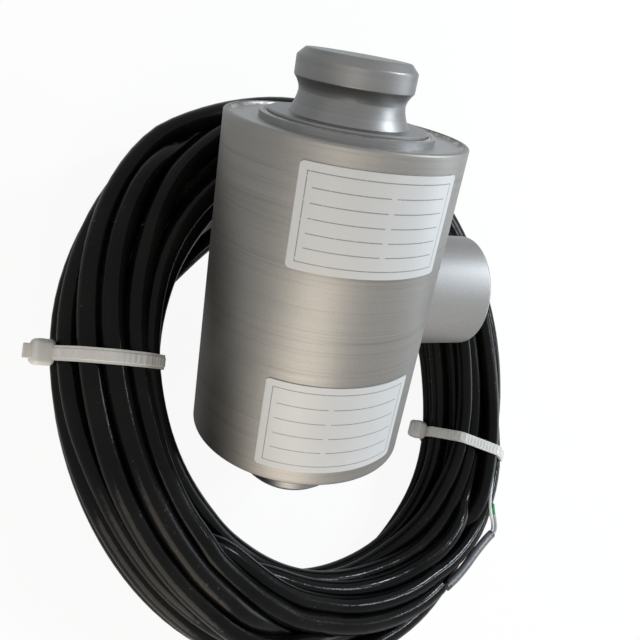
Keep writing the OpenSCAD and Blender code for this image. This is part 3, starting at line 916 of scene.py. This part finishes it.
    def settle(self) -> tuple[np.ndarray, np.ndarray]:
        """Lets the turns settle beside and on each other.

        Returns:
            The azimuth of each point, and its radius and height.
        """
        rng = np.random.default_rng(self.seed)
        count = int(round(self.turns * self.steps)) + 1
        rows = math.ceil(count / self.steps)
        azimuth = self.start + np.arange(count) * 360 / self.steps
        radius, half_w, half_h = self.outline(azimuth)
        middle = np.stack([radius, half_h], 1)
        room = np.stack([half_w, half_h], 1) - self.diameter / 2
        base = middle * (1, 0)
        goal, pull, fast = self._targets(rng, middle, room)
        low = self._lowest(azimuth)
        section = goal.copy()
        for pass_no in range(self.rounds):
            done = pass_no / self.rounds
            section += (goal - section) * (pull * (1 - 0.8 * done))[:, None]
            section += self._push_apart(section, rows)
            section = self._inside(section, middle, room, 0.3)
            section[:, 1] = np.maximum(section[:, 1], low)
            if pass_no % 3 == 0 or done > 0.8:
                section += self._leave_cell(section, azimuth)
            section += 0.3 * (base + self._smoothed(section - base, 4, 2.2) - section)
            section[fast] = goal[fast]
        return azimuth, section

    def route(self) -> np.ndarray:
        """The cable's whole centreline, from the gland to its free end.

        Returns:
            The line's points, in millimetres.
        """
        self.azimuth, self.section = self.settle()
        turns = self._world(self.section, self.azimuth)
        point, way = self.exit_point()
        lead = smooth_line([point, point + 5 * way, *self.lead, turns[1], turns[4]], 4)
        return np.vstack([lead[:-8], turns])

    def build(self, finish: bpy.types.Material) -> bpy.types.Object:
        """Makes the cable.

        Args:
            finish: its jacket.

        Returns:
            The piece.
        """
        self.line = self.route() * MM
        made = tube("cable", self.line, self.diameter * MM, finish, 16)
        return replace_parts(made, "cable_lead", "cable_coil", "cable_tail")


@dataclass
class CableEnd:
    """The grey sleeve on the cable's stripped end, and the two cores that come out of it."""

    sleeve_d: float = 3.8
    core_d: float = 1.4
    sleeve: tuple[tuple[float, float, float], ...] = (
        (51.1, -138.7, 40.4), (57.6, -137.4, 40.6), (65.4, -135, 40.6), (73.4, -132.1, 40.4),
        (81.7, -129.5, 40.2), (87.4, -128.3, 40),
    )
    green: tuple[tuple[float, float, float], ...] = (
        (87.55, -129.03, 40), (90, -128.4, 39.9), (91.8, -125.6, 39.8), (91.8, -119.5, 39.7),
        (92, -115.4, 39.7),
    )
    white: tuple[tuple[float, float, float], ...] = (
        (87.25, -127.57, 40), (89, -126.2, 39.9), (89.5, -123.2, 39.9), (88.8, -118.3, 40),
        (89.8, -112.7, 40), (92.3, -106.2, 40), (94.9, -100.2, 40),
    )

    def build(self) -> list[bpy.types.Object]:
        """Makes the sleeve and the cores.

        Returns:
            The three pieces.
        """
        made = []
        ring = ((self.sleeve[0], 1.6, 2.7), (self.sleeve[-1], 1.4, 2.5))
        # The green core is coloured light grey over its first 9.5 mm.
        grey_stretch = ((self.green[0], 0.0, 9.5),)
        for name, points, size, finish_of in (
            ("sleeve", self.sleeve, self.sleeve_d, Plastic("sleeve_grey", (0.10, 0.10, 0.11), 0.35, marks=ring)),
            ("core_green", self.green, self.core_d, Plastic(
                "core_green", (0.01, 0.30, 0.10), 0.35, marks=grey_stretch, mark_colour=(0.42, 0.42, 0.44)
            )),
            ("core_white", self.white, self.core_d, Plastic("core_white", (0.62, 0.64, 0.68), 0.35)),
        ):
            finish = finish_of.make()
            line = smooth_line(points, 8) * MM
            made.append(tube(name, line, size * MM, finish))
        for obj, node in zip(made, ("tail_sleeve", "green_core", "white_core")):
            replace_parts(obj, node)
        return made


@dataclass
class CableTie:
    """A nylon tie round the bundle: a ribbed strap drawn tight, and its head. In millimetres."""

    name: str
    node: str
    azimuth: float
    cable: CoiledCable
    outward: bool
    level: float = 20.0
    head: tuple[float, float, float] = (6.4, 8.2, 7.4)
    stub: float = 2.6
    width: float = 4.6
    thick: float = 1.3
    rib: float = 0.25

    def _hull(self) -> np.ndarray:
        """The outline that a tight strap takes round the turns, anticlockwise."""
        cable = self.cable
        step = 360 / cable.steps
        place = (self.azimuth - cable.start) % 360 / step
        count = len(cable.section)
        at = np.arange(place, count - 1, cable.steps)
        middles = np.stack([np.interp(at, np.arange(count), cable.section[:, i]) for i in (0, 1)], 1)
        turn = np.linspace(0, 2 * math.pi, 33)[:-1]
        rim = np.stack([np.cos(turn), np.sin(turn)], 1) * (cable.diameter / 2 + 0.1)
        points = (middles[:, None] + rim[None]).reshape(-1, 2)
        points = points[np.lexsort((points[:, 1], points[:, 0]))]

        def chain(ordered: np.ndarray) -> list[np.ndarray]:
            """Half of the hull."""
            kept: list[np.ndarray] = []
            for point in ordered:
                while len(kept) > 1 and np.cross(kept[-1] - kept[-2], point - kept[-2]) <= 0:
                    kept.pop()
                kept.append(point)
            return kept[:-1]

        return np.array(chain(points) + chain(points[::-1]))

    def _even(self, outline: np.ndarray, gap: float) -> np.ndarray:
        """The closed outline again, with its points about a gap apart."""
        closed = np.vstack([outline, outline[:1]])
        along = np.r_[0, np.cumsum(np.linalg.norm(np.diff(closed, axis=0), axis=1))]
        count = int(along[-1] / gap)
        at = np.arange(count) * along[-1] / count
        return np.stack([np.interp(at, along, closed[:, i]) for i in (0, 1)], 1)

    def build(self, finish: bpy.types.Material) -> bpy.types.Object:
        """Makes the tie.

        Args:
            finish: its nylon.

        Returns:
            The piece.
        """
        outline = self._even(self._hull(), 0.9)
        ahead = np.roll(outline, -1, 0) - np.roll(outline, 1, 0)
        normal = np.stack([ahead[:, 1], -ahead[:, 0]], 1)
        normal /= np.linalg.norm(normal, axis=1)[:, None]
        build = bmesh.new()
        half = self.width / 2
        rings = []
        for i, (point, out) in enumerate(zip(outline, normal)):
            rise = self.thick + (self.rib if i % 2 else 0.0)
            flat = self.thick
            profile = (
                (0.0, -half), (flat, -half), (flat, -half + 0.7), (rise, -half + 0.9),
                (rise, half - 0.9), (flat, half - 0.7), (flat, half), (0.0, half),
            )
            rings.append([
                build.verts.new(self._place(point[0] + out[0] * lift, side, point[1] + out[1] * lift))
                for lift, side in profile
            ])
        for ring, following in zip(rings, rings[1:] + rings[:1]):
            for i in range(len(ring)):
                j = (i + 1) % len(ring)
                build.faces.new((ring[i], ring[j], following[j], following[i]))
        self._add_head(build, outline)
        mesh = bpy.data.meshes.new(self.name)
        build.to_mesh(mesh)
        build.free()
        mesh.materials.append(finish)
        made = piece_from(self.name, mesh, 30)
        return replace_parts(made, self.node)

    def _place(self, radius: float, side: float, height: float) -> Vector:
        """A point of the tie's own section frame, in metres in the scene's frame."""
        turn = math.radians(self.azimuth)
        x = self.cable.centre[0] + radius * math.cos(turn) - side * math.sin(turn)
        y = self.cable.centre[1] + radius * math.sin(turn) + side * math.cos(turn)
        return Vector((x, y, height)) * MM

    def _add_head(self, build: bmesh.types.BMesh, outline: np.ndarray) -> None:
        """Adds the head and the strap's cut end."""
        sign = 1 if self.outward else -1
        level = self.level
        near = np.abs(outline[:, 1] - level) < 4
        edge = outline[near, 0].max() if self.outward else outline[near, 0].min()
        reach, along, tall = self.head
        self._block(build, (reach, along, tall), (edge + sign * (reach / 2 + 0.3), level), 1.7)
        self._block(
            build, (self.stub + 2, self.width, self.thick),
            (edge + sign * (reach + self.stub / 2 - 0.8), level), 0.35,
        )

    def _block(
        self, build: bmesh.types.BMesh, size: Sequence[float], middle: tuple[float, float], round_by: float
    ) -> None:
        """Adds a rounded block.

        Args:
            build: the mesh that it is added to.
            size: its size outwards, along the cable and upwards.
            middle: radius and height of its middle.
            round_by: radius of its edges.
        """
        block = bmesh.new()
        bmesh.ops.create_cube(block, size=1.0, matrix=Matrix.Diagonal((*size, 1.0)))
        bmesh.ops.bevel(block, geom=block.edges[:], offset=round_by, segments=5, affect="EDGES", profile=0.5)
        block.verts.index_update()
        verts = [
            build.verts.new(self._place(middle[0] + vert.co.x, vert.co.y, middle[1] + vert.co.z))
            for vert in block.verts
        ]
        for face in block.faces:
            build.faces.new([verts[vert.index] for vert in face.verts])
        block.free()


@dataclass
class Studio:
    """Camera, lamps, floor and white surroundings."""

    eye: tuple[float, float, float] = (-0.154762, 0.004085, 0.230228)
    right: tuple[float, float, float] = (0.756203, -0.144181, 0.638254)
    up: tuple[float, float, float] = (0.154547, 0.98718, 0.039897)
    focal: float = 36.873
    ambient: float = 0.3
    floor_size: float = 6.0

    def camera(self) -> None:
        """Sets the camera where the photograph was taken from."""
        data = bpy.data.cameras.new("camera")
        data.lens = self.focal
        data.sensor_width = 36.0
        data.clip_start = 0.01
        eye = bpy.data.objects.new("camera", data)
        right, up = Vector(self.right).normalized(), Vector(self.up)
        up = (up - right * up.dot(right)).normalized()
        turn = Matrix((right, up, right.cross(up))).transposed()
        eye.matrix_world = Matrix.Translation(self.eye) @ turn.to_4x4()
        bpy.context.scene.collection.objects.link(eye)
        bpy.context.scene.camera = eye

    def lamp(
        self, name: str, toward: Sequence[float], far: float, size: float, watts: float, colour: Colour
    ) -> None:
        """Adds a soft square lamp that faces the object.

        Args:
            name: the lamp's name.
            toward: the way from the object to the lamp.
            far: its distance.
            size: its side.
            watts: its power.
            colour: its colour.
        """
        data = bpy.data.lights.new(name, "AREA")
        data.size = size
        data.energy = watts
        data.color = colour
        lamp = bpy.data.objects.new(name, data)
        way = Vector(toward).normalized()
        lamp.matrix_world = (
            Matrix.Translation(Vector((0.01, -0.03, 0.03)) + way * far)
            @ way.to_track_quat("Z", "Y").to_matrix().to_4x4()
        )
        bpy.context.scene.collection.objects.link(lamp)

    def floor(self) -> None:
        """Lays a plain pale floor that keeps the object's shadow."""
        half = self.floor_size / 2
        mesh = bpy.data.meshes.new("floor")
        mesh.from_pydata(
            [(-half, -half, 0), (half, -half, 0), (half, half, 0), (-half, half, 0)], [], [(0, 1, 2, 3)]
        )
        shader = Shader("floor")
        plain = shader.node("ShaderNodeBsdfDiffuse", None, Color=(0.88, 0.88, 0.88))
        white = shader.node("ShaderNodeEmission", None, Color=(1, 1, 1), Strength=1.0)
        seen = shader.node("ShaderNodeLightPath", output="Is Camera Ray")
        mirrored = shader.node("ShaderNodeLightPath", output="Is Glossy Ray")
        share = seen * 0.93 + mirrored * 0.2
        mixed = shader.node("ShaderNodeMixShader", None, share, plain, white)
        shader.node("ShaderNodeOutputMaterial", None, mixed)
        mesh.materials.append(shader.material)
        obj = bpy.data.objects.new("floor", mesh)
        bpy.context.scene.collection.objects.link(obj)

    def world(self) -> None:
        """Surrounds the scene with white that lights it only softly."""
        world = bpy.data.worlds.new("surroundings")
        world.use_nodes = True
        tree = world.node_tree
        tree.nodes.clear()
        path = tree.nodes.new("ShaderNodeLightPath")
        white = tree.nodes.new("ShaderNodeBackground")
        soft = tree.nodes.new("ShaderNodeBackground")
        white.inputs["Color"].default_value = (1, 1, 1, 1)
        soft.inputs["Color"].default_value = (1, 1, 1, 1)
        soft.inputs["Strength"].default_value = self.ambient
        total = path.outputs["Is Camera Ray"]
        for ray in ("Is Glossy Ray", "Is Transmission Ray"):
            add = tree.nodes.new("ShaderNodeMath")
            add.operation = "MAXIMUM"
            tree.links.new(total, add.inputs[0])
            tree.links.new(path.outputs[ray], add.inputs[1])
            total = add.outputs[0]
        mix = tree.nodes.new("ShaderNodeMixShader")
        tree.links.new(total, mix.inputs[0])
        tree.links.new(soft.outputs[0], mix.inputs[1])
        tree.links.new(white.outputs[0], mix.inputs[2])
        out = tree.nodes.new("ShaderNodeOutputWorld")
        tree.links.new(mix.outputs[0], out.inputs["Surface"])
        bpy.context.scene.world = world

    def build(self) -> None:
        """Builds the studio."""
        bpy.context.scene.view_settings.view_transform = "Standard"
        self.camera()
        self.world()
        self.floor()
        self.lamp("window", (0.6, 0.35, 0.75), 0.9, 0.09, 3.5, (0.82, 0.92, 1.0))
        self.lamp("sash", (0.64, 0.0, 0.77), 0.9, 0.12, 2.2, (0.82, 0.92, 1.0))
        self.lamp("pane", (0.88, -0.28, 0.38), 0.9, 0.32, 1.1, (0.80, 0.91, 1.0))
        self.lamp("room", (-0.62, -0.78, 0.30), 1.1, 0.8, 9.0, (1.0, 0.90, 0.76))


@dataclass
class SideHousing:
    """The short cylinder on the tube's side, with its foot carried down to the tube. In millimetres."""

    foot: float = 35.0
    tube_r: float = 38.0
    inner_r: float = 17.0
    sink: float = 0.3

    def build(self, finish: bpy.types.Material) -> bpy.types.Object:
        """Makes the housing from its CAD node, and draws the flat foot down over the round tube.

        Args:
            finish: its steel.

        Returns:
            The piece.
        """
        mesh = frame["nodes"]["side_housing"].data.copy()
        build = bmesh.new()
        build.from_mesh(mesh)
        bmesh.ops.remove_doubles(build, verts=build.verts, dist=1e-6)
        place = CELL.matrix()
        back = place.inverted()
        for vert in build.verts:
            x, y, z = (back @ vert.co) / MM
            if abs(x - self.foot) < 0.02 and math.hypot(y, z) > self.inner_r:
                x = min(x, math.sqrt(self.tube_r ** 2 - y * y) - self.sink)
                vert.co = place @ (Vector((x, y, z)) * MM)
        build.to_mesh(mesh)
        build.free()
        mesh.materials.clear()
        mesh.materials.append(finish)
        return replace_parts(piece_from("side_shell", mesh, 30), "side_housing")


@dataclass
class CellFinish:
    """Dresses the CAD nodes of the cell."""

    def build(self) -> None:
        """Gives every CAD node that shows its finish."""
        housing = BlastedSteel().make()
        side = BlastedSteel("side_satin", (0.255, 0.255, 0.253), 0.5, 0.15, 1.3).make()
        turned = TurnedSteel().make()
        plate = TurnedSteel("end_plate_turned", (0.31, 0.31, 0.31), 0.45, 1.0e-5).make()
        weld = WeldBead().make()
        gland = TurnedSteel("gland_plated", (0.36, 0.345, 0.315), 0.32, 0.4e-5).make()
        rubber = Plastic("seal_rubber", (0.02, 0.02, 0.02), 0.6).make()
        finishes = {
            "housing_tube": housing, "side_cover": side,
            "measuring_column": turned, "top_end_plate": plate, "bottom_end_plate": plate,
            "top_collar_weld": weld, "bottom_collar_weld": weld, "top_rim_weld": weld,
            "bottom_rim_weld": weld, "gland_body": gland, "gland_nut": gland,
            "gland_washer": rubber, "gland_seal": rubber, "cover_seal": rubber,
            "cable_entry": Jacket("entry_jacket").make(),
            "strain_gauges": Plastic("gauge_foil", (0.55, 0.30, 0.08), 0.3).make(),
            "gauge_harness": Plastic("harness_wire", (0.7, 0.7, 0.66), 0.4).make(),
            "terminal_board": Plastic("board_green", (0.02, 0.16, 0.06), 0.3).make(),
            "board_posts": Plastic("board_post", (0.55, 0.40, 0.15), 0.3).make(),
            "trim_resistors": Plastic("resistor", (0.03, 0.03, 0.035), 0.5).make(),
            "board_cores": Plastic("core_red", (0.42, 0.02, 0.02), 0.4).make(),
            "upper_label": PrintedFilm("upper_film", 33.6 * MM, rules(Side.UPPER)).make(),
            "lower_label": PrintedFilm("lower_film", -33 * MM, rules(Side.LOWER)).make(),
        }
        SideHousing().build(side)
        for node, finish in finishes.items():
            mesh = frame["nodes"][node].data
            mesh.materials.clear()
            mesh.materials.append(finish)
            LOG.info("%s takes %s", node, finish.name)


def rules(side: Side) -> tuple[tuple[float, float, float, float], ...]:
    """The plain rules printed on a label.

    Args:
        side: which of the labels.

    Returns:
        Left, right, low and high edge of each rule from the label's middle, in metres.
    """
    across, up = (22.4, 12.6) if side is Side.UPPER else (22.8, 13.4)
    line = 0.16
    split = 2.0 if side is Side.UPPER else -4.0
    levels = np.linspace(-up, up, 7 if side is Side.UPPER else 6)[1:-1]
    boxes = [(-across, across, level, level) for level in (-up, up)]
    boxes += [(place, place, -up, up) for place in (-across, across)]
    boxes += [(-across + 2, split - 1, level, level) for level in levels]
    boxes += [(split + 1, across - 2, level, level) for level in levels]
    return tuple(
        ((left - line) * MM, (right + line) * MM, (low - line) * MM, (high + line) * MM)
        for left, right, low, high in boxes
    )


def main() -> None:
    """Builds the scene in order and logs the cable and the finish of each CAD node."""
    logging.basicConfig(level=logging.INFO, format="%(name)s: %(message)s")
    Studio().build()
    cable = CoiledCable()
    cord = cable.build(Jacket().make())
    LOG.info("%s has %d faces", cord.name, len(cord.data.polygons))
    ends = CableEnd().build()
    nylon = Plastic("tie_nylon", (0.60, 0.597, 0.58), 0.38, 2e-5, 400, 0.25).make()
    ties = [
        CableTie("tie_left", "left_tie", 163.5, cable, True).build(nylon),
        CableTie("tie_right", "right_tie", -32.0, cable, False, 13.0, stub=1.0).build(nylon),
    ]
    CellFinish().build()
    length = float(np.linalg.norm(np.diff(cable.line, axis=0), axis=1).sum())
    LOG.info("the cable is %.2f m long", length)


if __name__ == "__main__":
    main()
